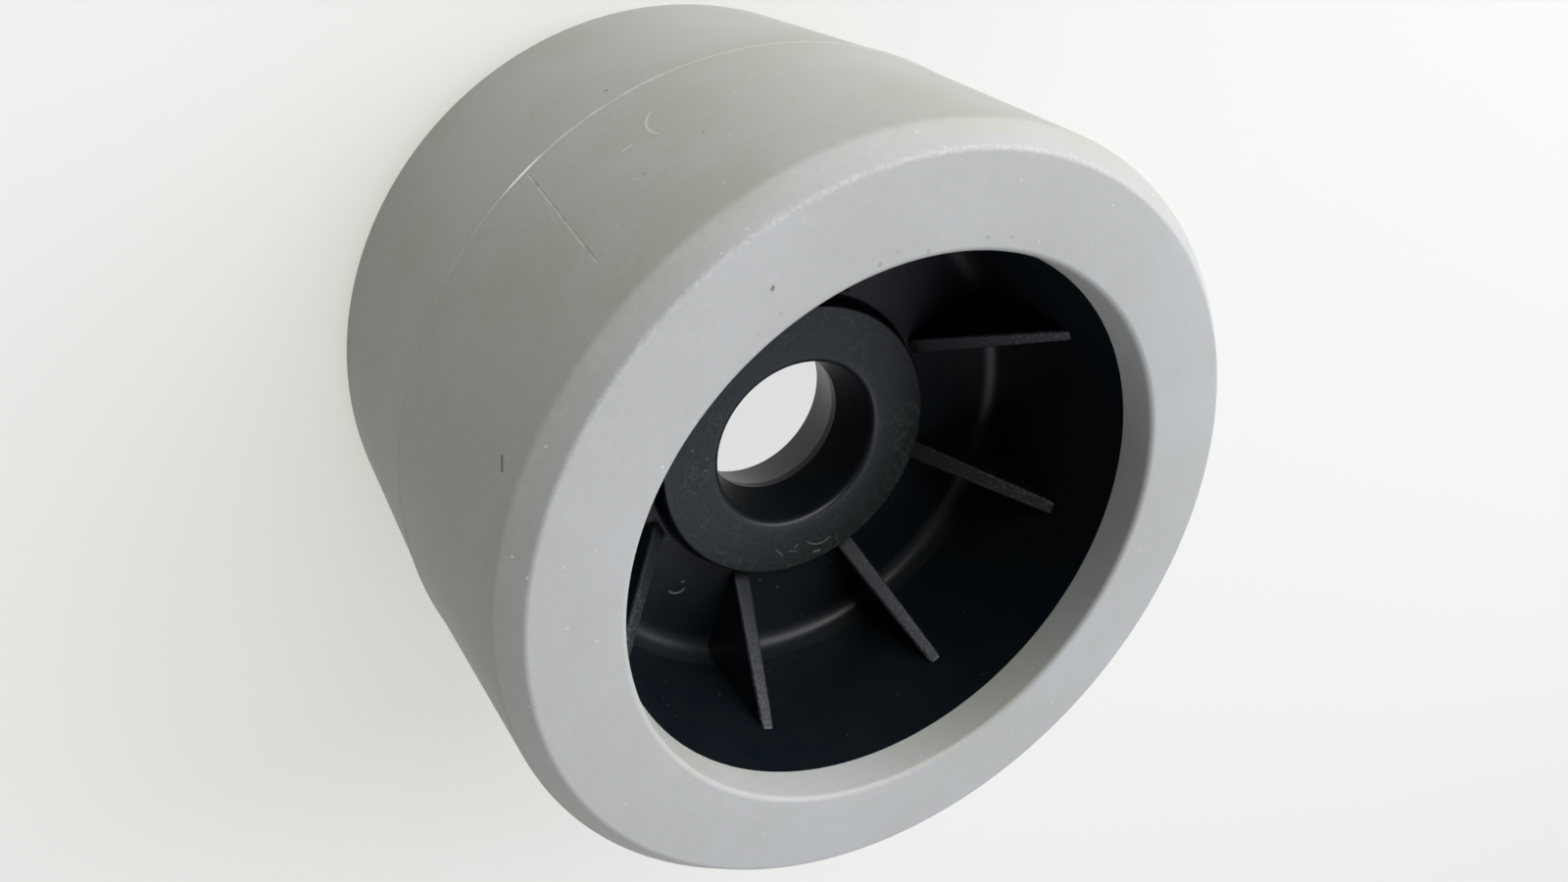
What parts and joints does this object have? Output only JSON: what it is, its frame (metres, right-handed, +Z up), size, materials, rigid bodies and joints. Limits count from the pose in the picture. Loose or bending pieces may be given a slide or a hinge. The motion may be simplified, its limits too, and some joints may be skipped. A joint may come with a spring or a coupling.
{
  "type": "boat trailer wobble roller",
  "caption": "Short smooth roller with drafted tread and bevelled shoulders over a ribbed core, whose flared bore lets it rock on its spindle.",
  "frame": {"origin": "on the bore's axis, in the plane of the lower end face that the roller stands on", "axes": "+Z up along the bore; +X along one of the ribs"},
  "size_m": [0.11, 0.11, 0.077],
  "materials": {
    "tyre": "satin, soft grey elastomer with a fine moulded skin",
    "core": "satin black moulded plastic"
  },
  "bodies": {
    "root": {"tyre": "tyre", "core": "core"}
  },
  "joints": []
}
